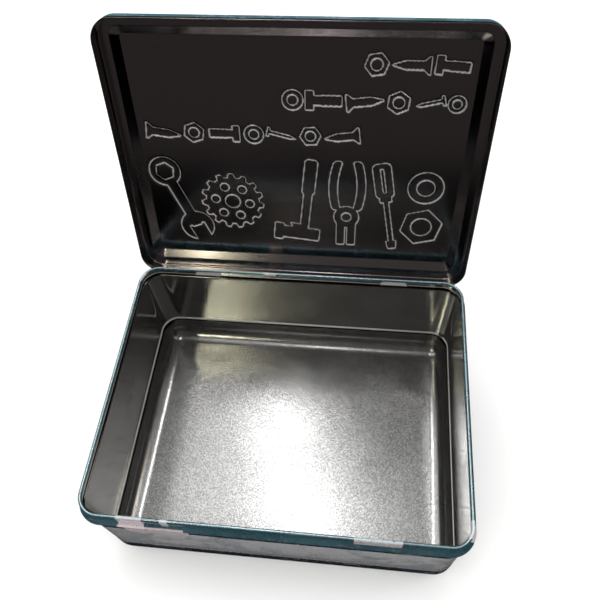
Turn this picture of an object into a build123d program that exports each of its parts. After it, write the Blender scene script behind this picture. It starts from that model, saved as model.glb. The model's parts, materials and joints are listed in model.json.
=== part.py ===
"""Large rectangular storage tin with a hinged lid, standing open.

The tin is pressed from tinplate. A seamed wall carries a rim that is rolled inwards and a bead that
stands out below it, a drawn pan closes the bottom, and a stepped lid hinges on two straps that hook
through windows in the back of the neck. The lid is drawn shut, where its fits are easy to follow, and
then swung open about the hinge for the rest pose.

Frame: origin under the middle of the body on the surface it stands on, +X to the right, +Y to the
hinge, +Z up. Millimetres and degrees.
"""

import os
from math import atan2, cos, degrees, radians, sin, tan

from build123d import *

# Body
WIDTH = 256.0  # over the rolled rim, left to right
DEPTH = 198.0  # over the rolled rim, front to back
HEIGHT = 102.0  # standing surface to the top of the rim
CORNER = 15.0  # plan radius of the upright corners, on the wall's outside
SHEET = 0.3  # tinplate

# Rolled rim, and the bead that the lid comes down on, measured down from the top of the rim
ROLL = 2.4  # diameter of the roll
ROLL_TURN = 250.0  # how far round it the sheet goes
BEAD_OUT = 2.6  # how far the bead stands out of the wall
BEAD_START = 8.6  # top of the sloping flank
BEAD_CREST = 11.0  # bottom of the sloping flank
BEAD_BAND = 0.9  # upright height of the crest
BEAD_FOOT = 13.4  # where the wall is plain again
BEAD_ROUND = 0.8  # inside radius of the bead's bends

# Joint between the wall and the bottom pan
WALL_FOOT = 20.5  # bottom edge of the wall above the standing surface
FOLD = 2.0  # height of the fold inside that edge
FOLD_GAP = 0.1  # between the two layers of any folded edge
PAN_LAP = 3.5  # how far the pan reaches up outside the wall
PAN_ROUND = 14.0  # outside radius from the pan's side to its floor

# Side seam, folded flat on the inside of the back right corner
SEAM_WIDTH = 5.0
SEAM_THICK = 0.5
SEAM_TURN = 52.0  # its place on the corner, turned from the right-hand side towards the back

# Lid
LID_FIT = 0.3  # between the neck and the lid's skirt
LID_REST = 0.2  # between the hem and the bead when shut
HEM = 2.4  # height of the fold outside the skirt
RIM_ROOM = 1.2  # between the rim and the flat ledge round the lid when shut
LEDGE_BEND = 1.6  # outside radius from the skirt to the ledge
LEDGE_WIDTH = 7.6  # outside of the skirt to the foot of the sloping step
PANEL_RISE = 4.3  # ledge to the raised panel
PANEL_INSET = 13.4  # outside of the skirt to the top of the sloping step
STEP_ROUND = 0.8

# Hinge
OPEN_ANGLE = 106.0  # from shut to the stop
STRAP_SPACING = 150.0  # between the middles of the two straps
STRAP_WIDTH = 21.0
HOOK_TIP = 16.0  # width of the hook's free end
HOOK = 5.0  # length of the hook inside the neck
HOOK_FIT = 0.2  # between the hook and the neck when the lid is open
HOOK_BEND = 0.35  # radius of the hook's bend, on the middle of the sheet
WINDOW_SIDE = 0.5  # room at each end of a strap in its window
WINDOW_ABOVE = 0.3  # room above the strap
WINDOW_BELOW = 0.3  # room below the strap

# Worked out from the sizes above
half_width = WIDTH / 2
half_depth = DEPTH / 2
neck_mid = half_width - SHEET / 2
flank_angle = atan2(BEAD_CREST - BEAD_START, BEAD_OUT)
bead_top = HEIGHT - BEAD_START
hem_radius = SHEET + FOLD_GAP / 2
hinge_out = LID_FIT + hem_radius
hinge_y = half_depth + hinge_out
hinge_z = bead_top + (hem_radius + LID_REST - hinge_out * sin(flank_angle)) / cos(flank_angle)
skirt_out = LID_FIT + SHEET
hinge_axis = Axis((0, hinge_y, hinge_z), (1, 0, 0))

# The strap's leaf lies on the hem and its hook on the neck, so their corner is where the two meet.
turn = radians(OPEN_ANGLE)
strap_out = hem_radius + SHEET / 2
hook_in = hinge_out + SHEET + HOOK_FIT + SHEET / 2
strap_drop = (hook_in + strap_out * cos(turn)) / sin(turn)
strap_y, strap_z = hinge_y + strap_out, hinge_z - strap_drop
half_slope = SHEET / 2 / sin(turn)  # half the sheet, measured upright through a slope
web_top = half_slope - strap_out * sin(turn) - strap_drop * cos(turn) + (HOOK_FIT + SHEET / 2) / tan(turn)
window_top = hinge_z + web_top + WINDOW_ABOVE
window_foot = strap_z + (strap_out + hinge_out + SHEET) / tan(turn) - half_slope - WINDOW_BELOW


def loop_path(out):
    """Closed path round the tin, standing out of the wall by out, from the middle of the right side."""
    radius = CORNER + out
    across, along = WIDTH - 2 * CORNER, DEPTH - 2 * CORNER
    with BuildLine(Plane.XY) as path:
        side = Line((half_width + out, 0), (half_width + out, along / 2))
        for straight in (across, along, across, along / 2):
            bend = JernArc(side @ 1, side % 1, radius, 90)
            side = Line(bend @ 1, bend @ 1 + straight * (bend % 1))
    return path.line


def swing_open(part):
    """Turn a piece of the shut lid to where it stands open."""
    return part.rotate(hinge_axis, -OPEN_ANGLE)


os.makedirs("parts", exist_ok=True)

# ---------------------------------------------------------------- body wall
# Middle of the sheet on the right-hand side, from the fold at its foot up to the end of the roll.
fold_mid = (SHEET + FOLD_GAP) / 2
roll_mid = ROLL / 2 - SHEET / 2
foot_z = WALL_FOOT + hem_radius

with BuildPart() as body_wall:
    with BuildSketch(Plane.XZ) as wall_section:
        with BuildLine():
            Line((neck_mid - 2 * fold_mid, foot_z + FOLD), (neck_mid - 2 * fold_mid, foot_z))
            CenterArc((neck_mid - fold_mid, foot_z), fold_mid, 180, 180)
            FilletPolyline(
                (neck_mid, foot_z),
                (neck_mid, HEIGHT - BEAD_FOOT),
                (neck_mid + BEAD_OUT, HEIGHT - BEAD_CREST - BEAD_BAND),
                (neck_mid + BEAD_OUT, HEIGHT - BEAD_CREST),
                (neck_mid, bead_top),
                (neck_mid, HEIGHT - ROLL / 2),
                radius=[BEAD_ROUND, BEAD_BAND / 2, BEAD_BAND / 2, BEAD_ROUND],
            )
            CenterArc((half_width - ROLL / 2, HEIGHT - ROLL / 2), roll_mid, 0, ROLL_TURN)
            offset(amount=SHEET / 2, side=Side.BOTH)
        make_face()
    sweep(path=loop_path(0))

    # Lock seam: a flat fold up the inside of the back right corner.
    seam_radius = CORNER - SHEET
    seam_turn = degrees(SEAM_WIDTH / seam_radius)
    corner = (half_width - CORNER, half_depth - CORNER)
    with BuildSketch(Plane.XY.offset(WALL_FOOT + 2 * hem_radius)):
        with BuildLine():
            outer = CenterArc(corner, seam_radius + SHEET / 2, SEAM_TURN - seam_turn / 2, seam_turn)
            inner = CenterArc(corner, seam_radius - SEAM_THICK, SEAM_TURN - seam_turn / 2, seam_turn)
            Line(outer @ 0, inner @ 0)
            Line(outer @ 1, inner @ 1)
        make_face()
    extrude(amount=HEIGHT - ROLL - WALL_FOOT - 2 * hem_radius)

    # Windows in the neck and the bead's flank for the two hinge hooks.
    with BuildSketch(Plane.XY.offset(window_foot)):
        with Locations((-STRAP_SPACING / 2, half_depth), (STRAP_SPACING / 2, half_depth)):
            Rectangle(STRAP_WIDTH + 2 * WINDOW_SIDE, 2 * (BEAD_OUT + SHEET))
    extrude(amount=window_top - window_foot, mode=Mode.SUBTRACT)

body_wall.part.label = "body_wall"
export_step(body_wall.part, "parts/body_wall.step")

# --------------------------------------------------------------- bottom pan
with BuildPart() as bottom_pan:
    with BuildSketch(Plane.XY):
        RectangleRounded(WIDTH + 2 * SHEET, DEPTH + 2 * SHEET, CORNER + SHEET)
    extrude(amount=WALL_FOOT + PAN_LAP)
    fillet(bottom_pan.faces().sort_by(Axis.Z)[0].edges(), radius=PAN_ROUND)
    offset(amount=-SHEET, openings=bottom_pan.faces().sort_by(Axis.Z)[-1])

bottom_pan.part.label = "bottom_pan"
export_step(bottom_pan.part, "parts/bottom_pan.step")

# ---------------------------------------------------------------------- lid
# Middle of the sheet on the right-hand side, from the free edge of the hem to the raised panel.
lid_edge = half_width + skirt_out
skirt_mid = lid_edge - SHEET / 2
ledge_z = HEIGHT + RIM_ROOM + SHEET / 2
panel_z = ledge_z + PANEL_RISE
panel_lap = (CORNER + skirt_out - PANEL_INSET) / 2  # flat of the panel made with the edge

with BuildPart() as lid:
    with BuildSketch(Plane.XZ):
        with BuildLine():
            Line((skirt_mid + 2 * fold_mid, hinge_z + HEM), (skirt_mid + 2 * fold_mid, hinge_z))
            CenterArc((skirt_mid + fold_mid, hinge_z), fold_mid, 0, -180)
            FilletPolyline(
                (skirt_mid, hinge_z),
                (skirt_mid, ledge_z),
                (lid_edge - LEDGE_WIDTH, ledge_z),
                (lid_edge - PANEL_INSET, panel_z),
                (lid_edge - PANEL_INSET - panel_lap, panel_z),
                radius=[LEDGE_BEND - SHEET / 2, STEP_ROUND, STEP_ROUND],
            )
            offset(amount=SHEET / 2, side=Side.BOTH)
        make_face()
    sweep(path=loop_path(skirt_out))

    # The panel meets that edge halfway along its flat.
    panel_edge = PANEL_INSET + panel_lap * 2 / 3
    with BuildSketch(Plane.XY.offset(panel_z - SHEET / 2)):
        RectangleRounded(
            WIDTH + 2 * (skirt_out - panel_edge),
            DEPTH + 2 * (skirt_out - panel_edge),
            CORNER + skirt_out - panel_edge,
        )
    extrude(amount=SHEET)

lid.part = swing_open(lid.part)
lid.part.label = "lid"
export_step(lid.part, "parts/lid.step")


# ------------------------------------------------------------- hinge straps
def hinge_strap(middle):
    """A strap crimped on the hem at X = middle, with its hook through the window in the neck."""
    hook_plane = Plane(
        origin=(middle, strap_y, strap_z), x_dir=(1, 0, 0), z_dir=(0, -cos(turn), -sin(turn))
    )
    with BuildPart() as strap:
        with BuildSketch(Plane.YZ.offset(middle)):
            with BuildLine():
                FilletPolyline(
                    (strap_y, hinge_z + HEM),
                    (strap_y, strap_z),
                    (strap_y - HOOK * sin(turn), strap_z + HOOK * cos(turn)),
                    radius=HOOK_BEND,
                )
                offset(amount=SHEET / 2, side=Side.BOTH)
            make_face()
        extrude(amount=STRAP_WIDTH / 2, both=True)
        # Sides of the hook, drawn in towards its tip.
        with BuildSketch(hook_plane):
            with BuildLine():
                Polyline(
                    (STRAP_WIDTH / 2, hook_in),
                    (STRAP_WIDTH / 2, 2 * HOOK),
                    (HOOK_TIP / 2, 2 * HOOK),
                    (HOOK_TIP / 2, HOOK),
                    close=True,
                )
            make_face()
            mirror(about=Plane.YZ)
        extrude(amount=SHEET, both=True, mode=Mode.SUBTRACT)
    return swing_open(strap.part)


for side, middle in (("left", -STRAP_SPACING / 2), ("right", STRAP_SPACING / 2)):
    strap = hinge_strap(middle)
    strap.label = f"hinge_strap_{side}"
    export_step(strap, f"parts/{strap.label}.step")
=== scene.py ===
"""Looks of a large hinged storage tin: printed outside, bare tinplate inside, lid standing open.

Every swept edge of the tin is one section of bent sheet carried round the same rounded loop by a
Geometry Nodes tree. The sections are drawn in metres, outwards from the outside of the wall and
upwards from the surface that the tin stands on. The lid is shaped shut and then swung open.
"""

import json
import logging
from collections.abc import Callable, Sequence
from dataclasses import dataclass, field, replace
from enum import Enum
from functools import reduce
from math import atan2, cos, dist, pi, radians, sin, tan

import bmesh
import bpy
import numpy as np
from mathutils import Matrix, Vector


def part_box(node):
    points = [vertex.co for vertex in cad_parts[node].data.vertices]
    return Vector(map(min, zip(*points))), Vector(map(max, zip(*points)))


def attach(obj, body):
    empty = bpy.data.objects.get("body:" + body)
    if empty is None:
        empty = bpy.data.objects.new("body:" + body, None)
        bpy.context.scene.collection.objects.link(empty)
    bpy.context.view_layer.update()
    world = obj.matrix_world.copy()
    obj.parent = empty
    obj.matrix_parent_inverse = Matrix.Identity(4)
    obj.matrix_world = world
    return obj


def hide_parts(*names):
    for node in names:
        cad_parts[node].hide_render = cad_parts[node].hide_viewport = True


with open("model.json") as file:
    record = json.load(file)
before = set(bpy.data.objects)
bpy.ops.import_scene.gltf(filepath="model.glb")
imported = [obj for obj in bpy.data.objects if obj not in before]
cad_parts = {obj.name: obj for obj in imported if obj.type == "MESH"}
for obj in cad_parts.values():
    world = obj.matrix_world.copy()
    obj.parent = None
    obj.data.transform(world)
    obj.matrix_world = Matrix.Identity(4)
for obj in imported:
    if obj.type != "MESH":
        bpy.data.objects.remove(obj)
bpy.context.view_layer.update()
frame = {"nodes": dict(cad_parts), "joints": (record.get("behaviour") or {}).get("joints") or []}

log = logging.getLogger("tin")
MM = 0.001
STRAPS = ("hinge_strap_left", "hinge_strap_right")

Point = tuple[float, float]
Place = tuple[float, float, float]
Colour = tuple[float, float, float]
Span = tuple[float, float]
Array = np.ndarray
Heights = Callable[[Array, Array], Array]
Socket = bpy.types.NodeSocket
Value = Socket | float | Colour
Finish = bpy.types.Material


def stand(name: str, data: bpy.types.ID) -> bpy.types.Object:
    """Make an object of a mesh, light or camera and put it in the scene."""
    thing = bpy.data.objects.new(name, data)
    bpy.context.scene.collection.objects.link(thing)
    return thing


def modified(thing: bpy.types.Object) -> bpy.types.Mesh:
    """Return the mesh of an object with its modifiers applied."""
    graph = bpy.context.evaluated_depsgraph_get()
    return bpy.data.meshes.new_from_object(thing.evaluated_get(graph))


class Side(Enum):
    """The two skins of a sheet, in the order of the material slots."""

    PRINT = 0
    BARE = 1


# ------------------------------------------------------------------ sections
@dataclass
class Sheet:
    """Middle line of a bent sheet, as (out, up) points in metres.

    Attributes:
        thickness: thickness of the sheet.
        turn_step: largest turn between two points of a bend, in radians.
        least_steps: fewest steps in a bend.
        ease: distance of the extra points that keep a flat run flat beside a bend.
        closest: how near two points may be before they count as one.
        line: the points so far.
    """

    thickness: float = 0.3 * MM
    turn_step: float = radians(12.0)
    least_steps: int = 3
    ease: float = 0.35 * MM
    closest: float = 0.001 * MM
    line: list[Point] = field(default_factory=list)

    def arc(self, centre: Point, radius: float, start: float, sweep: float) -> None:
        """Add a round bend.

        Args:
            centre: centre of the bend.
            radius: radius on the middle of the sheet.
            start: direction of its first point from the centre, in radians.
            sweep: how far it turns, in radians, positive from out towards up.
        """
        steps = max(self.least_steps, round(abs(sweep) / self.turn_step))
        for k in range(steps + 1):
            angle = start + sweep * k / steps
            self.add((centre[0] + radius * cos(angle), centre[1] + radius * sin(angle)))

    def add(self, point: Point) -> None:
        """Add a point, unless the line already ends there."""
        if not self.line or dist(point, self.line[-1]) > self.closest:
            self.line.append(point)

    def run(self, corners: Sequence[Point], radii: Sequence[float]) -> None:
        """Add straight runs joined by round bends.

        Args:
            corners: the ends of the runs.
            radii: radius of the bend at each corner but the first and last.
        """
        self.add(corners[0])
        before, room = Vector(corners[0]), 3 * self.ease
        for corner, after, radius in zip(corners[1:], corners[2:], radii):
            here, ahead = Vector(corner), (Vector(after) - Vector(corner)).normalized()
            behind = (before - here).normalized()
            half = behind.angle(ahead) / 2
            reach = radius / tan(half)
            centre = here + (behind + ahead).normalized() * radius / sin(half)
            first, last = here + behind * reach, here + ahead * reach
            if (first - before).length > room:
                self.add(tuple(first + behind * self.ease))
            start = atan2(first.y - centre.y, first.x - centre.x)
            sweep = (atan2(last.y - centre.y, last.x - centre.x) - start + pi) % (2 * pi) - pi
            self.arc(centre, radius, start, sweep)
            if (Vector(after) - last).length > room:
                self.add(tuple(last + ahead * self.ease))
            before = last
        self.add(corners[-1])

    def skins(self) -> tuple[Array, Array]:
        """Return the points of the two skins, left and right of the line's direction."""
        line = np.array(self.line)
        step = np.diff(line, axis=0)
        step /= np.linalg.norm(step, axis=1, keepdims=True)
        along = np.vstack([step[:1], step[1:] + step[:-1], step[-1:]])
        along /= np.linalg.norm(along, axis=1, keepdims=True)
        left = np.stack([-along[:, 1], along[:, 0]], axis=1) * self.thickness / 2
        return line + left, line - left

    def section(self, print_left: bool, closed: bool) -> tuple[Array, Array]:
        """Return the points round the bent sheet, and for each 1 on the bare skin or 0.

        Args:
            print_left: whether the print is on the left of the line's direction.
            closed: whether the sheet is free at both edges. Otherwise it is free at its first
                edge only, and the first and last points are the two skins at its open end.
        """
        left, right = self.skins()
        sides = np.full(len(left), 0.0 if print_left else 1.0)
        turned = (left, right[::-1]) if closed else (left[::-1], right)
        return np.vstack(turned), np.append(sides, 1.0 - sides)


@dataclass(frozen=True)
class Loop:
    """The rounded rectangle that every section follows, on the outside of the wall.

    Attributes:
        width: left to right.
        depth: front to back.
        corner: plan radius of the corners.
        steps: number of places of the section round the loop.
        corner_steps: number of places on each corner of the curve that the sections follow.
    """

    width: float
    depth: float
    corner: float
    steps: int = 440
    corner_steps: int = 48

    @classmethod
    def tree(cls) -> bpy.types.NodeTree:
        """Return the node tree that carries a section round the loop, made once."""
        name = "section_round_loop"
        if name in bpy.data.node_groups:
            return bpy.data.node_groups[name]
        group = bpy.data.node_groups.new(name, "GeometryNodeTree")
        sockets = {
            "Section": "Geometry", "Width": "Float", "Depth": "Float", "Corner": "Float",
            "Steps": "Int", "Finish": "Material",
        }
        for label, kind in sockets.items():
            group.interface.new_socket(label, in_out="INPUT", socket_type=f"NodeSocket{kind}")
        group.interface.new_socket("Mesh", in_out="OUTPUT", socket_type="NodeSocketGeometry")
        nodes = {
            kind: group.nodes.new(kind)
            for kind in (
                "NodeGroupInput", "GeometryNodeCurvePrimitiveQuadrilateral",
                "GeometryNodeFilletCurve", "GeometryNodeResampleCurve",
                "GeometryNodeSetCurveNormal", "GeometryNodeMeshToCurve",
                "GeometryNodeCurveToMesh", "GeometryNodeSetShadeSmooth",
                "GeometryNodeRealizeInstances", "GeometryNodeSetMaterial", "NodeGroupOutput",
            )
        }
        given, box, fillet, even, normal, section, sweep, smooth, real, finish, out = nodes.values()
        fillet.mode = "POLY"
        fillet.inputs["Count"].default_value = cls.corner_steps
        even.mode = "COUNT"
        normal.mode = "Z_UP"
        targets = {
            "Section": section.inputs["Mesh"], "Width": box.inputs["Width"],
            "Depth": box.inputs["Height"], "Corner": fillet.inputs["Radius"],
            "Steps": even.inputs["Count"], "Finish": finish.inputs["Material"],
        }
        for label, target in targets.items():
            group.links.new(given.outputs[label], target)
        chain = (box, fillet, even, normal, sweep, smooth, real, finish, out)
        for a, b in zip(chain, chain[1:]):
            group.links.new(a.outputs[0], b.inputs[0])
        group.links.new(section.outputs[0], sweep.inputs["Profile Curve"])
        return group

    def sweep(
        self, name: str, points: Array, sides: Array, closed: bool, finish: Finish
    ) -> "Shell":
        """Carry a section round the loop.

        Args:
            name: name of the piece.
            points: (out, up) points of the section.
            sides: for each point, 0 on the printed skin and 1 on the bare one.
            closed: whether the section's last point joins its first.
            finish: material of the printed skin.

        Returns:
            The swept shell.
        """
        count = len(points)
        edges = [(k, k + 1) for k in range(count - 1)] + ([(count - 1, 0)] if closed else [])
        mesh = bpy.data.meshes.new(name)
        mesh.from_pydata([(out, -up, 0.0) for out, up in points], edges, [])
        mesh.attributes.new("bare", "FLOAT", "POINT").data.foreach_set("value", sides)
        piece, group = stand(name, mesh), self.tree()
        keys = {s.name: s.identifier for s in group.interface.items_tree if s.in_out == "INPUT"}
        modifier = piece.modifiers.new("sweep", "NODES")
        modifier.node_group = group
        given = {
            "Width": self.width, "Depth": self.depth, "Corner": self.corner,
            "Steps": self.steps, "Finish": finish,
        }
        for label, value in given.items():
            modifier[keys[label]] = value
        shell = Shell.read(modified(piece), count)
        bpy.data.objects.remove(piece)
        return shell


def grid_faces(number: Array) -> list[tuple[int, ...]]:
    """Return the four-sided faces between the vertices of a grid, given their numbers."""
    corners = (number[:-1, :-1], number[:-1, 1:], number[1:, 1:], number[1:, :-1])
    return [tuple(int(v) for v in face) for face in np.stack(corners, axis=-1).reshape(-1, 4)]


def grid_border(number: Array) -> Array:
    """Return the numbers of the vertices round the border of a grid, in order."""
    return np.concatenate([number[0, :-1], number[:-1, -1], number[-1, :0:-1], number[:0:-1, 0]])


@dataclass
class Shell:
    """Vertices and faces of a piece while it is being put together.

    Attributes:
        points: vertices, one row each.
        bare: for each vertex, 1 on the bare skin and 0 on the printed one.
        faces: vertex numbers of each face.
        places: number of section points, which follow each other in the vertices.
        swept: number of vertices that the sweep made, which come first.
    """

    points: Array
    bare: Array
    faces: list[tuple[int, ...]]
    places: int = 0
    swept: int = 0

    @classmethod
    def read(cls, mesh: bpy.types.Mesh, places: int) -> "Shell":
        """Take the vertices, faces and skins of a swept mesh."""
        points = np.zeros(len(mesh.vertices) * 3)
        mesh.vertices.foreach_get("co", points)
        bare = np.zeros(len(mesh.vertices))
        mesh.attributes["bare"].data.foreach_get("value", bare)
        faces = [tuple(face.vertices) for face in mesh.polygons]
        return cls(points.reshape(-1, 3), bare, faces, places, len(bare))

    def fill(self, place: int, pitch: float, margin: float, heights: Heights, side: Side) -> None:
        """Close one open end of the section with a flat panel that may carry a relief.

        Args:
            place: number of the section point on the open end.
            pitch: spacing of the panel's points.
            margin: plain strip between the open end and the panel's grid.
            heights: relief at given X and Y.
            side: skin that the panel belongs to.
        """
        rim = np.arange(place, self.swept, self.places)
        half_x = self.points[rim, 0].max() - margin
        half_y = self.points[rim, 1].max() - margin
        level = self.points[rim, 2].mean()
        columns, rows = round(2 * half_x / pitch), round(2 * half_y / pitch)
        x, y = np.meshgrid(
            np.linspace(-half_x, half_x, columns + 1), np.linspace(-half_y, half_y, rows + 1)
        )
        x, y = x.ravel(), y.ravel()
        first = len(self.points)
        panel = np.stack([x, y, level + heights(x, y)], axis=1)
        self.points = np.vstack([self.points, panel])
        self.bare = np.append(self.bare, np.full(len(panel), float(side.value)))
        number = first + np.arange(len(panel)).reshape(rows + 1, columns + 1)
        self.faces += grid_faces(number)
        self.join(rim, grid_border(number))

    def join(self, outer: Array, inner: Array) -> None:
        """Join two loops round the same middle with triangles.

        Args:
            outer: vertex numbers of the outer loop.
            inner: vertex numbers of the inner loop.
        """
        loops = []
        for loop in (outer, inner):
            angle = np.arctan2(self.points[loop, 1], self.points[loop, 0])
            order = np.argsort(angle)
            loops.append((loop[order], angle[order]))
        (a, a_turn), (b, b_turn) = loops
        i = j = 0
        while i < len(a) or j < len(b):
            a_next = a_turn[i + 1] if i + 1 < len(a) else a_turn[0] + 2 * pi
            b_next = b_turn[j + 1] if j + 1 < len(b) else b_turn[0] + 2 * pi
            here_a, here_b = int(a[i % len(a)]), int(b[j % len(b)])
            if j >= len(b) or (i < len(a) and a_next <= b_next):
                self.faces.append((here_a, int(a[(i + 1) % len(a)]), here_b))
                i += 1
            else:
                self.faces.append((here_a, int(b[(j + 1) % len(b)]), here_b))
                j += 1

    def piece(self, name: str, finishes: Sequence[Finish],
              place: Matrix | None = None) -> bpy.types.Object:
        """Make the finished object.

        Args:
            name: name of the piece.
            finishes: materials of the printed and of the bare skin.
            place: where the piece goes, if it wasn't shaped in place.

        Returns:
            An object at the origin with its place in its mesh.
        """
        mesh = bpy.data.meshes.new(name)
        mesh.from_pydata(self.points.tolist(), [], self.faces)
        mesh.attributes.new("bare", "FLOAT", "POINT").data.foreach_set("value", self.bare)
        for finish in finishes:
            mesh.materials.append(finish)
        skins = [int(np.mean(self.bare[list(face)]) > 0.5) for face in self.faces]
        mesh.polygons.foreach_set("material_index", skins)
        work = bmesh.new()
        work.from_mesh(mesh)
        bmesh.ops.recalc_face_normals(work, faces=work.faces[:])
        work.to_mesh(mesh)
        work.free()
        mesh.polygons.foreach_set("use_smooth", [True] * len(mesh.polygons))
        if place is not None:
            mesh.transform(place)
        mesh.update()
        return stand(name, mesh)


# ------------------------------------------------------------------ finishes
class Bench:
    """Node bench of one material, with short ways to lay out and join its nodes."""

    def __init__(self, name: str) -> None:
        """Start an empty material with a Principled shader."""
        self.material = bpy.data.materials.new(name)
        self.material.use_nodes = True
        self.nodes = self.material.node_tree.nodes
        self.shader = self.nodes["Principled BSDF"]
        self.place = self.nodes.new("ShaderNodeTexCoord").outputs["Object"]

    def put(self, value: Value, target: Socket) -> None:
        """Join a socket to an input, or set a number, vector or colour on it."""
        if isinstance(value, Socket):
            self.material.node_tree.links.new(value, target)
        else:
            target.default_value = (*value, 1.0) if target.type == "RGBA" else value

    def node(self, kind: str, given: dict[str | int, Value], **settings: str) -> bpy.types.Node:
        """Add a node.

        Args:
            kind: its type, after the word that all shader nodes start with.
            given: what its inputs are given, by their names or numbers.
            settings: its other settings.
        """
        node = self.nodes.new(f"ShaderNode{kind}")
        for name, value in settings.items():
            setattr(node, name, value)
        for key, value in given.items():
            self.put(value, node.inputs[key])
        return node

    def noise(self, scale: float, detail: float = 3.0, stretch: Sequence[float] = (1, 1, 1),
              roughness: float = 0.5) -> Socket:
        """Return a noise over the object's own coordinates.

        Args:
            scale: patches per metre.
            detail: levels of finer noise on top.
            stretch: factor on the scale along each axis.
            roughness: share of each finer level.
        """
        mapping = self.node("Mapping", {"Vector": self.place, "Scale": stretch})
        given = {"Vector": mapping.outputs["Vector"], "Scale": scale, "Detail": detail}
        return self.node("TexNoise", {**given, "Roughness": roughness}).outputs["Fac"]

    def maths(self, operation: str, *values: Socket) -> Socket:
        """Return the outcome of one sum over one or two values."""
        return self.node("Math", dict(enumerate(values)), operation=operation).outputs["Value"]

    def times(self, a: Socket, b: Socket) -> Socket:
        """Return the product of two values."""
        return self.maths("MULTIPLY", a, b)

    def along(self, axis: str) -> Socket:
        """Return the object's own coordinate along X, Y or Z, in metres."""
        return self.node("SeparateXYZ", {"Vector": self.place}).outputs[axis]

    def band(self, value: Socket, low: float, high: float, soft: float) -> Socket:
        """Return 1 where a value lies between two others and 0 outside, with soft ends."""
        return self.times(
            self.ramp(value, low, low + soft), self.ramp(value, high - soft, high, 1.0, 0.0)
        )

    def level(self, low: float, high: float, soft: float) -> Socket:
        """Return 1 between two heights above the standing surface, with soft ends."""
        return self.band(self.along("Z"), low, high, soft)

    def attribute(self, name: str) -> Socket:
        """Return a number stored on the mesh."""
        return self.node("Attribute", {}, attribute_name=name).outputs["Fac"]

    def ramp(self, value: Socket, low: float, high: float,
             bottom: float = 0.0, top: float = 1.0) -> Socket:
        """Return a value that goes smoothly from bottom at low to top at high."""
        given = {
            "Value": value, "From Min": low, "From Max": high, "To Min": bottom, "To Max": top,
        }
        return self.node("MapRange", given, interpolation_type="SMOOTHSTEP").outputs["Result"]

    def mix(self, amount: Socket, first: Value, second: Value) -> Socket:
        """Return a colour between two others, each a colour or a socket."""
        node = self.node("Mix", {"Factor": amount}, data_type="RGBA")
        ends = [socket for socket in node.inputs if socket.type == "RGBA"]
        for colour, target in zip((first, second), ends):
            self.put(colour, target)
        return next(s for s in node.outputs if s.type == "RGBA")

    def bump(self, layers: Sequence[tuple[Socket, float]]) -> None:
        """Give the surface a relief.

        Args:
            layers: for each layer, its height from 0 to 1 and how deep that is, in metres.
        """
        below = {}
        for value, depth in layers:
            node = self.node("Bump", {"Height": value, "Distance": depth, **below})
            below = {"Normal": node.outputs["Normal"]}
        self.shade(**below)

    def shade(self, **values: Value) -> None:
        """Give values to the shader's inputs, named with underscores for spaces."""
        for name, value in values.items():
            self.put(value, self.shader.inputs[name.replace("_", " ")])


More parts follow.
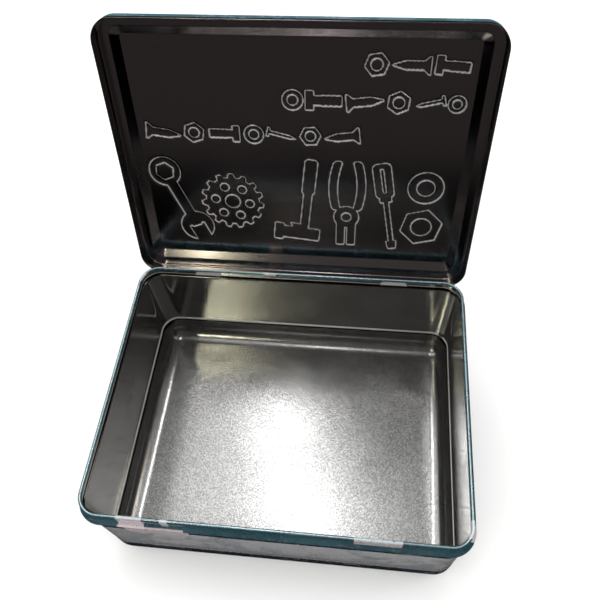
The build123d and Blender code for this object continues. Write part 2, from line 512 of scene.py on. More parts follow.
@dataclass(frozen=True)
class BareTin:
    """Uncoated tinplate with its grain.

    Attributes:
        name: name of the material.
        dark: colour between the grains.
        bright: colour of the grains.
        smooth: lowest roughness.
        rough: highest roughness.
        grain: grains per metre.
        grain_depth: depth of the grain, in metres.
        wave_depth: depth of the slow waviness of the sheet, in metres.
        crease: height of a crease under which painted shade darkens the tin, in metres, where the
            piece has one.
        line: how far down the crease's dark line reaches, in metres.
        deep: how far down it reaches at the ends of the piece, in metres.
        ends: where the ends begin and are reached, from the middle plane, in metres.
        painted_shade: colour of the painted shade in creases and grooves.
        wear_and_highlight: lowest and highest place of each edge lightened with a painted highlight,
            in metres.
        grooves: lowest and highest place of each groove darkened with painted shade, in metres.
        rubbed_and_highlight: colour of the painted highlight on those edges.
        metal: how metallic the surface is.
        pressed: whether the piece carries pressed outlines, whose slopes get a painted highlight.
        slope: colour of the painted highlight on those slopes.
    """

    name: str
    dark: Colour
    bright: Colour
    smooth: float
    rough: float
    grain: float = 1300.0
    grain_depth: float = 0.01 * MM
    wave_depth: float = 0.4 * MM
    crease: float | None = None
    line: float = 3.4 * MM
    deep: float = 6.5 * MM
    ends: Span = (118 * MM, 124 * MM)
    painted_shade: Colour = (0.015, 0.014, 0.012)
    wear_and_highlight: tuple[Span, ...] = ()
    grooves: tuple[Span, ...] = ()
    rubbed_and_highlight: Colour = (0.95, 0.94, 0.91)
    metal: float = 1.0
    pressed: bool = False
    slope: Colour = (0.95, 0.92, 0.90)

    def material(self) -> Finish:
        """Make the material."""
        bench = Bench(self.name)
        grain = bench.noise(self.grain, detail=2.0)
        tin = bench.mix(bench.ramp(grain, 0.34, 0.66), self.dark, self.bright)
        # Painted shade: a dark line under the crease, reaching further down towards the ends of the
        # piece.
        if self.crease is not None:
            top = self.crease + MM
            aside = bench.maths("ABSOLUTE", bench.along("X"))
            deep = bench.level(self.crease - self.deep, top, 0.8 * MM)
            tin = bench.mix(bench.times(deep, bench.ramp(aside, *self.ends)), tin, self.painted_shade)
            tin = bench.mix(bench.level(self.crease - self.line, top, 0.5 * MM), tin, self.painted_shade)
        # Painted shade darkens each groove.
        for low, high in self.grooves:
            tin = bench.mix(bench.level(low, high, 0.5 * MM), tin, self.painted_shade)
        gloss = bench.ramp(bench.noise(28.0, detail=4.0), 0.3, 0.7, self.smooth, self.rough)
        shines = []
        # Painted highlights lighten these edges, which also shine less.
        for low, high in self.wear_and_highlight:
            wear_and_highlight = bench.level(low, high, 0.3 * MM)
            tin = bench.mix(wear_and_highlight, tin, self.rubbed_and_highlight)
            shines.append(bench.ramp(wear_and_highlight, 0.0, 1.0, bottom=1.0, top=0.6))
        # Painted highlight on the slopes of the pressed outlines.
        if self.pressed:
            slope = bench.band(bench.attribute("raised"), 0.10, 0.98, 0.25)
            tin = bench.mix(slope, tin, self.slope)
            gloss = bench.ramp(slope, 0.0, 1.0, bottom=self.rough, top=0.42)
            shines.append(bench.ramp(slope, 0.0, 1.0, bottom=1.0, top=0.78))
        shine = reduce(bench.times, shines) if shines else self.metal
        bench.shade(Base_Color=tin, Roughness=gloss, Metallic=shine)
        bench.bump([(bench.noise(14.0, detail=1.0), self.wave_depth), (grain, self.grain_depth)])
        return bench.material


@dataclass(frozen=True)
class PrintedTin:
    """Worn print and lacquer on the outside of the tin.

    Attributes:
        name: name of the material.
        ink: the teal of the neck, rim and lid.
        deep: the same ink where it is thickest.
        wall: the scuffed grey of the wall's print.
        stain: darker places in that grey.
        patch: the pale places where the print shows an old label.
        dark: colour of the dark band under the bead.
        bright: painted highlight along the top of the rim.
        speck: colour of the fine specks all over.
        wall_top: height under which the wall's print begins, in metres.
        foot: heights between which the wall's print darkens downwards, in metres.
        motif: colour of the raised outlines, where the piece has them.
        metal: how much the tin shines through the ink.
        dark_band: height down to which the dark band runs under the bead, in metres.
        crest: height of the rim's top, which carries the painted highlight, in metres.
        labels: pale patches over the neck, each from X to X, Y to Y and Z to Z, in metres.
        hairs: for each set of fine scratches, its noise's factor along X, Y and Z.
    """

    name: str
    ink: Colour = (0.15, 0.31, 0.37)
    deep: Colour = (0.05, 0.155, 0.20)
    wall: Colour = (0.54, 0.54, 0.555)
    stain: Colour = (0.33, 0.34, 0.355)
    patch: Colour = (0.60, 0.52, 0.54)
    dark: Colour = (0.012, 0.035, 0.05)
    bright: Colour = (0.50, 0.66, 0.70)
    speck: Colour = (0.012, 0.016, 0.02)
    wall_top: float | None = 90.5 * MM
    foot: Span = (30 * MM, 40 * MM)
    motif: Colour | None = None
    metal: float = 0.35
    dark_band: float = 73 * MM
    crest: float | None = None
    labels: tuple[tuple[Span, Span, Span], ...] = ()
    hairs: tuple[Place, ...] = ((0.05, 1.0, 0.7), (0.8, 0.06, 1.0))

    def material(self) -> Finish:
        """Make the material."""
        bench = Bench(self.name)
        height = bench.along("Z")
        cloud = bench.noise(45.0, detail=6.0, roughness=0.65)
        fleck = bench.noise(420.0, detail=3.0, roughness=0.7)
        colour = bench.mix(bench.ramp(cloud, 0.22, 0.78), self.deep, self.ink)
        shine = bench.ramp(fleck, 0.0, 1.0, self.metal, self.metal - 0.02)
        if self.wall_top is not None:
            rubbed_and_highlight = bench.mix(bench.ramp(cloud, 0.45, 0.62), self.wall, self.stain)
            rubbed_and_highlight = bench.mix(bench.ramp(height, *self.foot, 1.0, 0.0), rubbed_and_highlight, self.stain)
            # Dark band from under the bead down to the given height.
            dark_band = bench.ramp(height, self.dark_band - 0.5 * MM, self.dark_band)
            rubbed_and_highlight = bench.mix(dark_band, rubbed_and_highlight, self.dark)
            below = bench.ramp(height, self.wall_top - 0.8 * MM, self.wall_top, 1.0, 0.0)
            colour = bench.mix(below, colour, rubbed_and_highlight)
            shine = bench.times(shine, bench.ramp(below, 0.0, 1.0, bottom=1.0, top=0.15))
        scuffed = bench.ramp(bench.noise(20.0, detail=2.0), 0.46, 0.62, top=0.7)
        ragged = bench.ramp(bench.noise(330.0, detail=6.0, roughness=0.75), 0.57, 0.64)
        colour = bench.mix(bench.times(scuffed, ragged), colour, self.patch)
        for stretch in self.hairs:
            hair = bench.ramp(bench.noise(520.0, detail=1.0, stretch=stretch), 0.71, 0.75, top=0.6)
            colour = bench.mix(hair, colour, self.patch)
        wear_and_highlight = bench.ramp(bench.noise(260.0, detail=4.0), 0.28, 0.36)
        for spans in self.labels:
            sides = [bench.band(bench.along(a), *s, 0.8 * MM) for a, s in zip("XYZ", spans)]
            label = reduce(bench.times, [*sides, wear_and_highlight])
            colour = bench.mix(label, colour, self.patch)
            shine = bench.times(shine, bench.ramp(label, 0.0, 1.0, bottom=1.0, top=0.4))
        # Painted highlight along the top of the rim.
        if self.crest is not None:
            top = bench.ramp(height, self.crest - 0.20 * MM, self.crest - 0.06 * MM)
            colour = bench.mix(top, colour, self.bright)
        if self.motif is not None:
            thin = bench.ramp(bench.noise(190.0, detail=5.0), 0.36, 0.5, bottom=0.45)
            raised = bench.times(bench.ramp(bench.attribute("raised"), 0.35, 0.75), thin)
            colour = bench.mix(raised, colour, self.motif)
        colour = bench.mix(bench.ramp(fleck, 0.66, 0.72), colour, self.speck)
        gloss = bench.ramp(cloud, 0.3, 0.7, bottom=0.20, top=0.32)
        bench.shade(Base_Color=colour, Roughness=gloss, Metallic=shine, Coat_Weight=0.6,
                    Coat_Roughness=0.12)
        bench.bump([(bench.noise(14.0, detail=1.0), 0.3 * MM), (fleck, 0.01 * MM)])
        return bench.material


@dataclass(frozen=True)
class FloorFinish:
    """Plain pale floor."""

    name: str = "pale_floor"

    def material(self) -> Finish:
        """Make the material."""
        bench = Bench(self.name)
        cloud = bench.noise(3.0, detail=2.0)
        pale = bench.mix(cloud, (0.86, 0.86, 0.86), (0.9, 0.9, 0.9))
        bench.shade(Base_Color=pale, Roughness=0.8)
        return bench.material


# ------------------------------------------------------------------- motifs
@dataclass(frozen=True)
class Stamp:
    """Outline of one tool or piece of hardware, as distances below zero inside it.

    Places, widths and radii are shares of its size, measured from its middle, with X along it.
    Halves are half widths, and bends are the radii of rounded corners, in millimetres.

    Attributes:
        x: X of each point of the lid from the middle of the outline, in millimetres.
        y: Y of each point in the same way.
        size: length of the outline, or its radius where it is round.
    """

    x: Array
    y: Array
    size: float

    def disc(self, x: float, y: float, radius: float) -> Array:
        """Distance to a disc."""
        return np.hypot(self.x - x * self.size, self.y - y * self.size) - radius * self.size

    def bar(self, x: float, y: float, half_x: float, half_y: float,
            bend: float = 0.4) -> Array:
        """Distance to a bar with rounded corners."""
        dx = np.abs(self.x - x * self.size) - half_x * self.size + bend
        dy = np.abs(self.y - y * self.size) - half_y * self.size + bend
        outside = np.hypot(np.maximum(dx, 0), np.maximum(dy, 0))
        return outside + np.minimum(np.maximum(dx, dy), 0) - bend

    def hexagon(self, x: float, flat: float) -> Array:
        """Distance to a hexagon with that distance from its middle to a flat."""
        turns = [radians(60 * k) for k in range(3)]
        across = [np.abs((self.x - x * self.size) * cos(t) + self.y * sin(t)) for t in turns]
        return np.max(across, axis=0) - flat * self.size

    def wedge(self, x: float, half_y: float, taper: float) -> Array:
        """Distance to a wedge with that half width at X, and narrower by the taper beyond."""
        return np.abs(self.y) - half_y * self.size + (self.x - x * self.size) * taper

    def rod(self, half_y: Array | float) -> Array:
        """Distance to a rod over the whole length, with its half width in millimetres."""
        return np.maximum(np.abs(self.y) - half_y, np.abs(self.x) - self.size / 2)

    def thread(self, depth: float, pitch: float) -> Array:
        """Height of a zigzag thread along the rod, in millimetres as its depth is."""
        return depth * np.abs((self.x / (self.size * pitch)) % 2 - 1)

    def spanner(self) -> Array:
        """Open-ended spanner with a ring at its other end."""
        head = 0.17
        reach, mouth = 0.5 - head, 0.48 * head
        shaft = self.bar(0, 0, reach, 0.055, 1.0)
        jaw = np.maximum(self.disc(reach, 0, head), -self.bar(0.5, 0, 1.1 * head, mouth))
        ring = self.disc(-reach, 0, 0.9 * head)
        return np.maximum(np.min([shaft, jaw, ring], axis=0), -self.hexagon(-reach, mouth))

    def hammer(self) -> Array:
        """Claw hammer, upright."""
        handle = self.bar(0, -0.08, 0.045, 0.42, 2.0)
        grip = self.bar(0, -0.30, 0.065, 0.20, 3.0)
        head = self.bar(-0.05, 0.38, 0.22, 0.075, 1.5)
        face = self.bar(-0.26, 0.38, 0.05, 0.105, 1.5)
        claw = np.abs(self.disc(0.12, 0.16, 0.24)) - 0.045 * self.size
        claw = np.maximum(claw, -self.bar(0.42, 0.42, 0.3, 0.2))
        return np.min([handle, grip, head, face, np.maximum(claw, 0.26 * self.size - self.y)], axis=0)

    def gear(self, teeth: int = 15, holes: int = 6) -> Array:
        """Toothed wheel with a round bore and lightening holes."""
        tooth = np.clip(2.2 * np.cos(teeth * np.arctan2(self.y, self.x)), -1, 1)
        wheel = np.hypot(self.x, self.y) - self.size * (0.93 + 0.07 * tooth)
        turns = [2 * pi * k / holes for k in range(holes)]
        cut = [-self.disc(0.55 * cos(t), 0.55 * sin(t), 0.14) for t in turns]
        return np.max([wheel, -self.disc(0, 0, 0.24), *cut], axis=0)

    def driver(self) -> Array:
        """Screwdriver with a fluted handle."""
        handle = self.bar(-0.30, 0, 0.19, 0.09, 4.0)
        flute = self.bar(-0.30, 0, 0.13, 0.015, 0.8)
        collar = self.bar(-0.09, 0, 0.03, 0.06, 1.0)
        blade = self.bar(0.2, 0, 0.27, 0.026, 0.6)
        tip = np.maximum(self.bar(0.45, 0, 0.05, 0.05, 0.3), self.wedge(0.45, 0.05, 0.25))
        return np.min([np.maximum(handle, -flute), collar, blade, tip], axis=0)

    def pliers(self) -> Array:
        """Pair of pliers, upright."""
        half = replace(self, x=np.abs(self.x))
        bowed = replace(half, x=half.x + 0.55 * (self.y + 0.18 * self.size) ** 2 / self.size)
        nose = half.bar(0.055, 0.36, 0.045, 0.15, 1.5)
        legs = bowed.bar(0.14, -0.20, 0.045, 0.28, 2.5)
        pivot, pin = self.disc(0, 0.16, 0.13), self.disc(0, 0.16, 0.05)
        return np.maximum(np.min([pivot, nose, legs], axis=0), -pin)

    def screw(self) -> Array:
        """Wood screw with a countersunk head and a thread."""
        head = np.maximum(self.bar(-0.41, 0, 0.09, 0.24), self.wedge(-0.45, 0.24, 0.9))
        point = np.clip((self.size / 2 - self.x) / (0.35 * self.size), 0, 1)
        core, plain = 0.11 * self.size * point, 0.3
        return np.minimum(head, self.rod(core + self.thread(0.45, 0.055) * (core > plain)))

    def nail(self) -> Array:
        """Round nail, of one thickness whatever its length."""
        half, point, head, brim = 1.3, 4.0, 1.0, 3.6
        shank = self.rod(half * np.clip((self.size / 2 - self.x) / point, 0, 1))
        return np.minimum(shank, self.bar(-0.5, 0, head / self.size, brim / self.size))

    def bolt(self) -> Array:
        """Hexagon-headed bolt seen from the side."""
        head = self.bar(-0.38, 0, 0.12, 0.28, 0.6)
        thread = self.thread(0.5, 0.07) * (self.x > -0.1 * self.size)
        return np.minimum(head, self.rod(0.14 * self.size + thread))

    def nut(self) -> Array:
        """Hexagon nut seen from above."""
        return np.maximum(self.hexagon(0, 1.0), -self.disc(0, 0, 0.55))

    def washer(self) -> Array:
        """Flat washer."""
        return np.maximum(self.disc(0, 0, 1.0), -self.disc(0, 0, 0.5))


# The outlines on the shut lid, as X and Y of the middle, turn in degrees and size, in millimetres.
# +X is to the right and +Y to the hinge: a large row, then three small ones.
STAMPS = (
    (Stamp.spanner, -92, 38, 68, 78), (Stamp.gear, -52, 38, 7, 24), (Stamp.hammer, 5, 37, 6, 74),
    (Stamp.pliers, 35, 36, 0, 74), (Stamp.driver, 65, 38, 80, 76), (Stamp.nut, 92, 54, 15, 14),
    (Stamp.washer, 92, 20, 0, 13),
    (Stamp.screw, -97, -17, 8, 26), (Stamp.nut, -75, -18, 10, 6.8),
    (Stamp.bolt, -53, -18, 180, 22), (Stamp.washer, -32, -18, 0, 7),
    (Stamp.nail, -12, -18, 14, 20), (Stamp.nut, 8, -18, 25, 6.6), (Stamp.screw, 30, -18, 172, 25),
    (Stamp.washer, -4, -44, 0, 7.2), (Stamp.bolt, 17, -44, 0, 25), (Stamp.screw, 45, -44, -7, 26),
    (Stamp.nut, 67, -44, 5, 7), (Stamp.nail, 87, -44, 166, 19), (Stamp.washer, 105, -44, 0, 6),
    (Stamp.nut, 51, -69, 20, 7), (Stamp.screw, 73, -69, 180, 25), (Stamp.bolt, 99, -69, 4, 22),
)


@dataclass(frozen=True)
class Motifs:
    """The stamps pressed into the lid, in millimetres.

    Attributes:
        rise: how far the outlines stand out of the lid.
        slope: width of the slope round each outline.
        wrap: how much wider the outlines are outside than inside.
    """

    rise: float = 1.0
    slope: float = 1.2
    wrap: float = 1.0

    def raised(self, x: Array, y: Array, grow: float = 0.0) -> Array:
        """Return how raised the lid is, from 0 to 1.

        Args:
            x: X of each point, in metres.
            y: Y of each point, in metres.
            grow: how far every outline is widened, in millimetres.
        """
        outlines = []
        for outline, middle_x, middle_y, turn, size in STAMPS:
            c, s = cos(radians(turn)), sin(radians(turn))
            dx, dy = x / MM - middle_x, y / MM - middle_y
            outlines.append(outline(Stamp(dx * c + dy * s, dy * c - dx * s, size)))
        level = np.clip(0.5 - (np.min(outlines, axis=0) - grow) / self.slope, 0, 1)
        return level * level * (3 - 2 * level)

    def inside(self, x: Array, y: Array) -> Array:
        """Return the relief of the lid's inside, in metres."""
        return self.raised(x, y) * self.rise * MM

    def outside(self, x: Array, y: Array) -> Array:
        """Return the relief of the outside, which goes round that of the inside, in metres."""
        return self.raised(x, y, self.wrap) * self.rise * MM


# ---------------------------------------------------------------------- tin
@dataclass
class Tin:
    """Sizes that the pieces share, in metres.

    Attributes:
        height: standing surface to the top of the rim.
        sheet: thickness of the tinplate.
        fold_gap: between the two layers of a folded edge.
        lid_fit: between the neck and the lid's skirt.
        bead_out: how far the bead's middle line stands out of the wall.
        corner: plan radius of the wall's corners.
        loop: the loop that every section follows.
    """

    height: float
    loop: Loop
    sheet: float = 0.3 * MM
    fold_gap: float = 0.1 * MM
    lid_fit: float = 0.3 * MM
    bead_out: float = 2.6 * MM
    corner: float = 15 * MM

    @classmethod
    def from_frame(cls) -> "Tin":
        """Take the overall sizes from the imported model."""
        low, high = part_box("body_wall")
        size = high - low
        out = 2 * cls.bead_out
        return cls(high.z, Loop(size.x - out, size.y - out, cls.corner))


@dataclass
class BodyWall:
    """Seamed wall with its rolled rim, bead, foot fold, hinge windows and side seam."""

    tin: Tin
    roll: float = 2.4 * MM
    roll_turn: float = radians(250.0)
    bead_start: float = 8.6 * MM
    bead_crest: float = 11.0 * MM
    bead_band: float = 0.9 * MM
    bead_foot: float = 13.4 * MM
    bead_round: float = 0.8 * MM
    foot: float = 20.85 * MM
    fold: float = 2.0 * MM
    seam_width: float = 5.0 * MM
    seam_thick: float = 0.5 * MM
    seam_turn: float = radians(52.0)
    seam_step: float = 0.25 * MM
    seam_lift: Place = (0.02, 0.6, 0.95)
    seam_bury: float = 0.1 * MM
    seam_rows: int = 12
    window_side: float = 0.5 * MM
    window_above: float = 0.21 * MM
    window_below: float = 2.08 * MM

    def section(self) -> Sheet:
        """Return the wall's middle line, from its foot fold to the end of the roll."""
        tin, sheet = self.tin, Sheet(self.tin.sheet)
        neck, bend, top = -tin.sheet / 2, (tin.sheet + tin.fold_gap) / 2, tin.height
        sheet.add((neck - 2 * bend, self.foot + self.fold))
        sheet.arc((neck - bend, self.foot), bend, pi, pi)
        band = self.bead_band / 2
        sheet.run(
            [
                (neck, self.foot),
                (neck, top - self.bead_foot),
                (neck + tin.bead_out, top - self.bead_crest - self.bead_band),
                (neck + tin.bead_out, top - self.bead_crest),
                (neck, top - self.bead_start),
                (neck, top - self.roll / 2),
            ],
            [self.bead_round, band, band, self.bead_round],
        )
        middle = (-self.roll / 2, top - self.roll / 2)
        sheet.arc(middle, (self.roll - tin.sheet) / 2, 0.0, self.roll_turn)
        return sheet

    def seam(self, finishes: Sequence[Finish]) -> bpy.types.Object:
        """Make the flat seam inside the back right corner, which thins out to both sides.

        Args:
            finishes: materials of the outside and of the inside.
        """
        loop = self.tin.loop
        centre = (loop.width / 2 - loop.corner, loop.depth / 2 - loop.corner)
        outer = loop.corner - self.tin.sheet
        half, step = self.seam_width / outer / 2, self.seam_step / outer
        edge, flat = step * np.arange(3), half - 3 * step
        turns = np.concatenate([edge - half, np.linspace(-flat, flat, 4), half - edge[::-1]])
        turns += self.seam_turn
        lift = np.array([*self.seam_lift, 1.0, 1.0, 1.0, 1.0, *self.seam_lift[::-1]])
        inner = outer - self.seam_thick * lift
        buried = np.full(len(turns), outer + self.seam_bury)
        low, high = self.foot + 0.2 * self.fold, self.tin.height - self.roll
        levels = np.linspace(low, high, self.seam_rows)
        points = [
            (centre[0] + radius * cos(turn), centre[1] + radius * sin(turn), level)
            for radii in (inner, buried) for level in levels for turn, radius in zip(turns, radii)
        ]
        number = np.arange(len(points)).reshape(2, len(levels), len(turns))
        rims = [[int(v) for v in grid_border(skin)] for skin in number]
        faces = grid_faces(number[0]) + grid_faces(number[1])
        rings = [list(zip(rim, rim[1:] + rim[:1])) for rim in rims]
        faces += [(a, b, d, c) for (a, b), (c, d) in zip(*rings)]
        shell = Shell(np.array(points), np.ones(len(points)), faces)
        return shell.piece("side_seam", finishes)

    def cut_windows(self, wall: bpy.types.Object, hinge: Vector) -> None:
        """Cut the windows that the hinge hooks pass through.

        Args:
            wall: the wall.
            hinge: a point on the hinge's axis.
        """
        for strap in STRAPS:
            low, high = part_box(strap)
            cutter = bpy.data.meshes.new("window")
            shape = bmesh.new()
            bmesh.ops.create_cube(shape, size=1.0)
            shape.to_mesh(cutter)
            shape.free()
            above, below = self.window_above, self.window_below
            deep = 2 * (self.tin.bead_out + self.tin.sheet)
            size = (high.x - low.x + 2 * self.window_side, deep, above + below, 1.0)
            middle = Vector((low.x + high.x, self.tin.loop.depth, 2 * hinge.z + above - below)) / 2
            cutter.transform(Matrix.Translation(middle) @ Matrix.Diagonal(size))
            block = stand("window", cutter)
            modifier = wall.modifiers.new("window", "BOOLEAN")
            modifier.operation = "DIFFERENCE"
            modifier.solver = "EXACT"
            modifier.object = block
            cut = modified(wall)
            wall.modifiers.clear()
            wall.data = cut
            bpy.data.objects.remove(block)
        wall.data.name = wall.name

    def build(self, hinge: Vector, printed: Finish, bare: Finish) -> bpy.types.Object:
        """Make the wall.

        Args:
            hinge: a point on the hinge's axis.
            printed: finish of the outside.
            bare: finish of the inside.
        """
        sheet = self.section()
        points, sides = sheet.section(print_left=False, closed=True)
        # The foot fold brings the sheet's outside to the inside, and it is bare there.
        fold_top = self.foot + 2 * self.fold
        folded = sum(out < -self.tin.sheet for out, up in sheet.line if up < fold_top)
        sides[-folded:] = Side.BARE.value
        shell = self.tin.loop.sweep("body_wall_tinplate", points, sides, True, printed)
        wall = shell.piece("body_wall_tinplate", (printed, bare))
        self.cut_windows(wall, hinge)
        side_seam = self.seam((printed, bare))
        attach(side_seam, "base")
        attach(wall, "base")
        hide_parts("body_wall")
        return wall


@dataclass
class BottomPan:
    """Drawn pan that laps the foot of the wall and closes the tin."""

    tin: Tin
    round: float = 14.0 * MM
    strip: float = 0.5 * MM
    pitch: float = 3.0 * MM
    margin: float = 0.6 * MM
    wave: float = 0.05 * MM
    fade: float = 20 * MM

    def dish(self, x: Array, y: Array) -> Array:
        """Return the slight unevenness of the drawn floor at given X and Y, none at its edge.

        It is the sum of three slow waves, whose numbers are in radians per metre.
        """
        half_x, half_y = self.tin.loop.width / 2 - self.round, self.tin.loop.depth / 2 - self.round
        edge = np.clip((half_x - np.abs(x)) / self.fade, 0, 1)
        edge *= np.clip((half_y - np.abs(y)) / self.fade, 0, 1)
        slow = np.sin(x * 37 + 0.7) * np.cos(y * 43 - 0.4) + 0.5 * np.sin(x * 71 - y * 59)
        return self.wave * edge * (1.5 + slow)

    def build(self, printed: Finish, bare: Finish) -> bpy.types.Object:
        """Make the pan.

        Args:
            printed: finish of the outside.
            bare: finish of the inside.
        """
        top, half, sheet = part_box("bottom_pan")[1].z, self.tin.sheet / 2, Sheet(self.tin.sheet)
        end = -self.round - self.strip
        sheet.run([(half, top), (half, half), (end, half)], [self.round - half])
        points, sides = sheet.section(print_left=True, closed=False)
        shell = self.tin.loop.sweep("bottom_pan_tinplate", points, sides, False, printed)
        shell.fill(0, self.pitch, self.margin, lambda x, y: 0 * x, Side.PRINT)
        shell.fill(shell.places - 1, self.pitch, self.margin, self.dish, Side.BARE)
        pan = shell.piece("bottom_pan_tinplate", (printed, bare))
        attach(pan, "base")
        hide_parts("bottom_pan")
        return pan


@dataclass
class Lid:
    """Stepped lid with its folded hem and pressed outlines."""

    tin: Tin
    motifs: Motifs
    hem: float = 2.4 * MM
    rim_room: float = 1.2 * MM
    ledge_bend: float = 1.6 * MM
    ledge_width: float = 7.6 * MM
    panel_rise: float = 4.3 * MM
    panel_inset: float = 13.4 * MM
    step_round: float = 0.8 * MM
    inner_pitch: float = 0.92 * MM
    outer_pitch: float = 1.45 * MM
    margin: float = 0.5 * MM
    strip: float = 1.2 * MM

    def section(self, hinge: Vector) -> Sheet:
        """Return the lid's middle line, from the free edge of its hem to the raised panel.

        Args:
            hinge: a point on the hinge's axis.
        """
        tin, sheet = self.tin, Sheet(self.tin.sheet)
        edge = tin.lid_fit + tin.sheet
        skirt, bend = edge - tin.sheet / 2, (tin.sheet + tin.fold_gap) / 2
        ledge = tin.height + self.rim_room + tin.sheet / 2
        panel = ledge + self.panel_rise
        sheet.add((skirt + 2 * bend, hinge.z + self.hem))
        sheet.arc((skirt + bend, hinge.z), bend, 0.0, -pi)
        sheet.run(
            [
                (skirt, hinge.z),
                (skirt, ledge),
                (edge - self.ledge_width, ledge),
                (edge - self.panel_inset, panel),
                (edge - self.panel_inset - self.strip, panel),
            ],
            [self.ledge_bend - tin.sheet / 2, self.step_round, self.step_round],
        )
        return sheet

    def build(self, hinge: Vector, turn: float, printed: Finish,
              bare: Finish) -> bpy.types.Object:
        """Make the lid.

        Args:
            hinge: a point on the hinge's axis.
            turn: how far the lid stands open, in radians.
            printed: finish of the outside.
            bare: finish of the inside.
        """
        points, sides = self.section(hinge).section(print_left=False, closed=False)
        shell = self.tin.loop.sweep("lid_tinplate", points, sides, False, printed)
        shell.fill(0, self.inner_pitch, self.margin, self.motifs.inside, Side.BARE)
        last = shell.places - 1
        shell.fill(last, self.outer_pitch, self.margin, self.motifs.outside, Side.PRINT)
        panels = shell.points[shell.swept:]
        raised = np.zeros(len(shell.points))
        raised[shell.swept:] = self.motifs.raised(panels[:, 0], panels[:, 1])
        to_hinge = Matrix.Translation(hinge)
        opened = to_hinge @ Matrix.Rotation(-turn, 4, "X") @ to_hinge.inverted()
        lid = shell.piece("lid_tinplate", (printed, bare), opened)
        lid.data.attributes.new("raised", "FLOAT", "POINT").data.foreach_set("value", raised)
        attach(lid, "lid")
        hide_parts("lid")
        return lid


# -------------------------------------------------------------------- stage
MIDDLE = (0.0, 0.0, 0.08)
WHITE = (1.0, 1.0, 1.0)
ROOM = (7.0, 4.0)
DIM = (1.0, 0.90, 0.90)
DAYLIGHT = (1.0, 0.99, 0.97)


@dataclass(frozen=True)
class Lamp:
    """One soft rectangular light.

    Attributes:
        name: name of the light.
        place: its middle.
        size: its width and height.
        radiance: its brightness.
        target: where it points.
        tint: its colour.
        mirrored: whether the metal mirrors it.
    """

    name: str
    place: Place
    size: Span
    radiance: float
    target: Place = MIDDLE
    tint: Colour = WHITE
    mirrored: bool = True

    def hang(self) -> None:
        """Put the light in the scene."""
        lamp = bpy.data.lights.new(self.name, "AREA")
        lamp.shape = "RECTANGLE"
        lamp.size, lamp.size_y = self.size
        lamp.energy = self.radiance * pi * self.size[0] * self.size[1]
        lamp.color = self.tint
        light = stand(self.name, lamp)
        light.location = self.place
        way = Vector(self.target) - Vector(self.place)
        light.rotation_euler = way.to_track_quat("-Z", "Y").to_euler()
        light.visible_glossy = self.mirrored


# Large soft lights whiten the floor, out of the metal's reflections. The metal mirrors the dark
# room round the tin, dim ceilings, narrow strips and two windows.
LAMPS = (
    Lamp("fill_left", (-1.4, -0.6, 1.8), (1.6, 1.6), 1.9, mirrored=False),
    Lamp("fill_right", (1.5, -0.2, 1.7), (1.6, 1.6), 1.7, mirrored=False),
    Lamp("fill_back", (0.0, 1.6, 1.6), (2.0, 1.2), 1.1, mirrored=False),
    Lamp("room_front", (0.0, -4.0, 1.0), ROOM, 0.04, tint=DIM),
    Lamp("room_back", (0.0, 5.0, 1.0), ROOM, 0.04, tint=DIM),
    Lamp("room_left", (-4.5, 0.5, 1.0), ROOM, 0.04, tint=DIM),
    Lamp("room_right", (4.5, 0.5, 1.0), ROOM, 0.04, tint=DIM),
    Lamp("ceiling", (0.0, 0.9, 2.4), (3.4, 2.6), 0.20, (0.0, 0.9, 0.0), DAYLIGHT),
    Lamp("ceiling_front", (0.0, -1.7, 2.4), (4.0, 2.4), 0.07, (0.0, -1.7, 0.0), (1.0, 0.95, 0.93)),
    Lamp("ceiling_left", (-1.1, 0.8, 2.2), (1.5, 2.2), 0.45, (-1.1, 0.8, 0.0), DAYLIGHT),
    Lamp("strip", (-0.19, 0.62, 1.6), (0.11, 1.3), 6.8),
    Lamp("rail", (0.0, 0.30, 1.6), (3.0, 0.10), 1.0, (0.0, 0.30, 0.0)),
    Lamp("window", (-0.50, -0.80, 1.5), (0.06, 0.30), 16.0, (-0.50, 0.1, 0.0), (1.0, 0.96, 0.70)),
    Lamp("window_right", (0.95, 0.25, 1.2), (0.25, 0.5), 1.6, tint=(1.0, 0.93, 0.80)),
)


@dataclass(frozen=True)
class Studio:
    """Pale floor, soft lights and the camera.

    Attributes:
        reach: half the width of the floor.
        sky: strength of the pale world, which the metal doesn't mirror.
        eye: place of the camera.
        aim: turns of the camera about X, Y and Z, in radians.
        lens: its focal length, in millimetres.
    """

    reach: float = 6.0
    sky: float = 0.8
    eye: Place = (0.04695, -0.18122, 0.50611)
    aim: Place = (0.5687, 0.0466, 0.0975)
    lens: float = 37.246

    def floor(self) -> None:
        """Lay the floor, which shines on the tin only by its soft light."""
        mesh = bpy.data.meshes.new("floor")
        reach = self.reach
        corners = [(-reach, -reach, 0), (reach, -reach, 0), (reach, reach, 0), (-reach, reach, 0)]
        mesh.from_pydata(corners, [], [(0, 1, 2, 3)])
        mesh.materials.append(FloorFinish().material())
        floor = stand("floor", mesh)
        floor.visible_glossy = False

    def build(self) -> None:
        """Set up the floor, lights, world and camera."""
        self.floor()
        for lamp in LAMPS:
            lamp.hang()
        scene = bpy.context.scene
        world = bpy.data.worlds.new("studio")
        world.use_nodes = True
        background = world.node_tree.nodes["Background"]
        background.inputs["Color"].default_value = (*WHITE, 1.0)
        background.inputs["Strength"].default_value = self.sky
        # The world's visibility can be set only once the scene has it.
        scene.world = world
        world.cycles_visibility.glossy = False
        scene.view_settings.view_transform = "Standard"
        camera = bpy.data.cameras.new("camera")
        camera.lens = self.lens
        camera.sensor_width = 36.0
        camera.clip_start = 10 * MM
        eye = stand("camera", camera)
        eye.location = self.eye
        eye.rotation_euler = self.aim
        scene.camera = eye


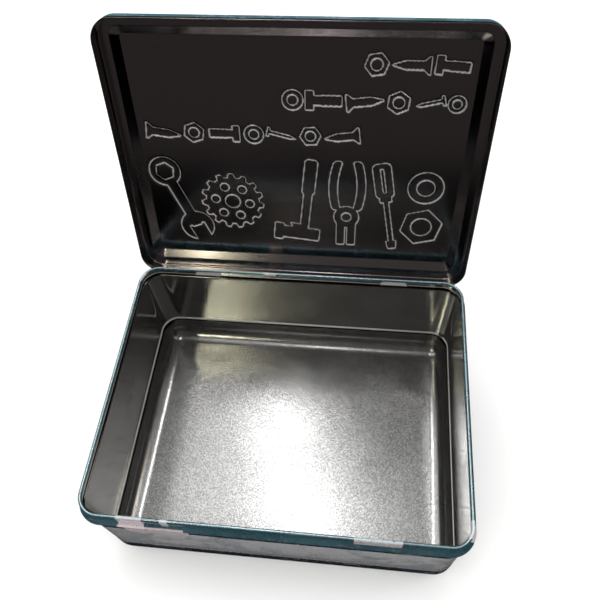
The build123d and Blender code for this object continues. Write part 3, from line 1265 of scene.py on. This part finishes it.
# Pale patches over the neck and wall, each from X to X, Y to Y and Z to Z, in millimetres.
FRONT, BACK, NECK = (-110.0, -90.0), (90.0, 110.0), (86.0, 103.0)
LABELS = (
    ((-100.0, -82.0), FRONT, NECK), ((-71.0, -65.0), FRONT, (93.0, 103.0)),
    ((-101.0, -56.0), FRONT, (68.0, 92.5)), ((53.0, 84.0), FRONT, (93.0, 103.0)),
    ((120.0, 140.0), (-92.0, -80.0), NECK), ((-140.0, -120.0), (84.0, 92.0), NECK),
    ((-29.0, -18.0), BACK, NECK),
)


def printed_finishes(tin: Tin) -> list[Finish]:
    """Return the printed finishes of the wall, the pan and the lid.

    Args:
        tin: the sizes of the tin.
    """
    labels = tuple(tuple((a * MM, b * MM) for a, b in spans) for spans in LABELS)
    return [finish.material() for finish in (
        PrintedTin("printed_wall", metal=0.78, crest=tin.height, labels=labels),
        PrintedTin("printed_pan", ink=(0.02, 0.03, 0.038), deep=(0.008, 0.011, 0.015),
                   wall_top=None),
        PrintedTin("printed_lid", wall_top=None, motif=(0.60, 0.56, 0.47)),
    )]


def bare_finishes(tin: Tin, wall: BodyWall) -> list[Finish]:
    """Return the bare finishes of the wall, the floor, the lid and the straps.

    Args:
        tin: the sizes of the tin.
        wall: its wall, whose fold and bead carry painted shade and painted highlights.
    """
    neck = tin.height - wall.bead_start
    # Painted shade darkens the groove under the neck.
    groove = (tin.height - wall.bead_foot + 0.1 * MM, neck - 0.2 * MM)
    # Painted highlights lighten the foot fold and a 1 mm strip at the ledge above the bead.
    fold = (wall.foot - 0.55 * MM, wall.foot + wall.fold + 0.35 * MM)
    # Painted shadow of the gap under the wall's foot, on the floor tin.
    crease = wall.foot - tin.sheet - tin.fold_gap / 2
    return [finish.material() for finish in (
        BareTin("wall_tin", (0.50, 0.50, 0.49), (0.62, 0.61, 0.60), 0.10, 0.17,
                grain_depth=0.002 * MM, grooves=(groove,), wear_and_highlight=(fold, (neck, neck + MM))),
        BareTin("floor_tin", (0.39, 0.39, 0.39), (0.81, 0.81, 0.80), 0.21, 0.26,
                grain_depth=0.004 * MM, crease=crease),
        BareTin("lid_tin", (0.42, 0.38, 0.38), (0.50, 0.46, 0.46), 0.08, 0.15,
                grain_depth=0.002 * MM, pressed=True),
        BareTin("strap_tin", (0.75, 0.75, 0.73), (0.95, 0.95, 0.93), 0.42, 0.55, metal=0.55),
    )]


def main() -> None:
    """Build the tin piece by piece, then the stage, and report each piece."""
    logging.basicConfig(level=logging.INFO, format="%(name)s: %(message)s")
    joint = frame["joints"][0]
    hinge, turn = Vector(joint["pos_m"]), radians(joint["range_deg"][1])
    tin = Tin.from_frame()
    wall = BodyWall(tin)
    printed_wall, printed_pan, printed_lid = printed_finishes(tin)
    wall_tin, floor_tin, lid_tin, strap_tin = bare_finishes(tin, wall)
    pieces = [
        wall.build(hinge, printed_wall, wall_tin),
        BottomPan(tin).build(printed_pan, floor_tin),
        Lid(tin, Motifs()).build(hinge, turn, printed_lid, lid_tin),
    ]
    for strap in STRAPS:
        node = frame["nodes"][strap]
        if not node.data.materials:
            node.data.materials.append(None)
        for slot in node.material_slots:
            slot.material = strap_tin
        pieces.append(node)
    for piece in pieces:
        log.info("%s: %d faces", piece.name, len(piece.data.polygons))
    Studio().build()


if __name__ == "__main__":
    main()
